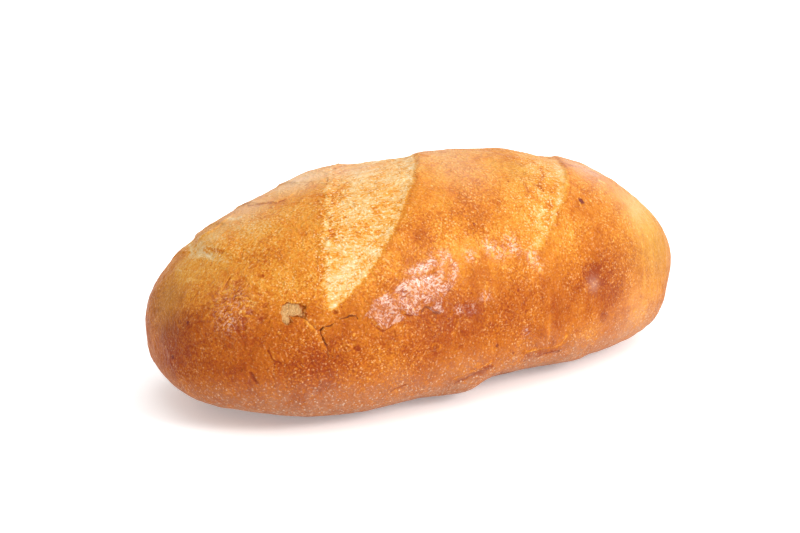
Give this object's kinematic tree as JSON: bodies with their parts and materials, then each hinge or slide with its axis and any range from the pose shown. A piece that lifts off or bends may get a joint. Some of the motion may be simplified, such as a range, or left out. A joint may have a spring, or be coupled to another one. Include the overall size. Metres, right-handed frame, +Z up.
{
  "type": "potato bread loaf",
  "caption": "Long oval potato bread loaf with a glossy golden crust, slanted scored openings across the top and a flat underside.",
  "frame": {"origin": "on the surface that the loaf rests on, under the middle of its outline seen from above", "axes": "+X along the loaf's length, +Z up, -Y towards the side where the scored openings start low on the flank"},
  "size_m": [0.2802, 0.1386, 0.106],
  "materials": {
    "crust": "satin baked crust, golden orange with paler openings"
  },
  "bodies": {
    "root": {"loaf": "crust"}
  },
  "joints": []
}
